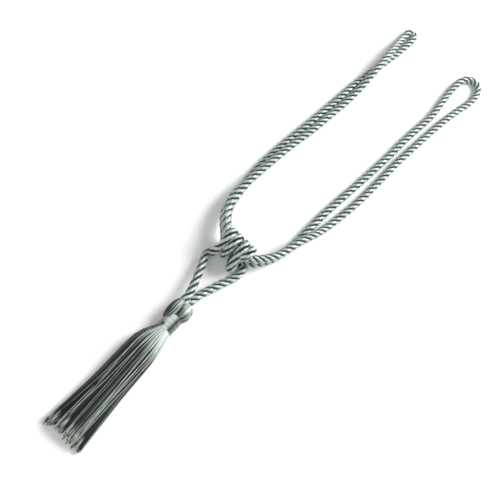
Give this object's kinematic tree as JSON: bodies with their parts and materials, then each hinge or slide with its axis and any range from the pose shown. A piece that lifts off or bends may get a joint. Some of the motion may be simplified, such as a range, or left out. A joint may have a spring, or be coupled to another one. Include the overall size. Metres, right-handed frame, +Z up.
{
  "type": "curtain tieback tassel",
  "caption": "Curtain tieback: a folded twisted rope with looped ends, drawn together by a wound knot that carries a bound yarn tassel with a loose skirt.",
  "frame": {"origin": "middle of the whole tieback's box, on the table that it lies on", "axes": "+Z up from the table, +Y from the tassel's skirt towards the end loops, +X across the two arms"},
  "size_m": [0.088, 0.4608, 0.0237],
  "materials": {
    "satin_rope": "satin twisted yarn, sage green",
    "tassel_yarn": "satin yarn, sage green",
    "wound_floss": "glossy wound floss, pale sage"
  },
  "bodies": {
    "root": {"arm_rope_left": "satin_rope", "arm_rope_right": "satin_rope", "hanging_rope": "satin_rope", "tassel_yarn": "tassel_yarn", "neck_band": "wound_floss"}
  },
  "joints": []
}
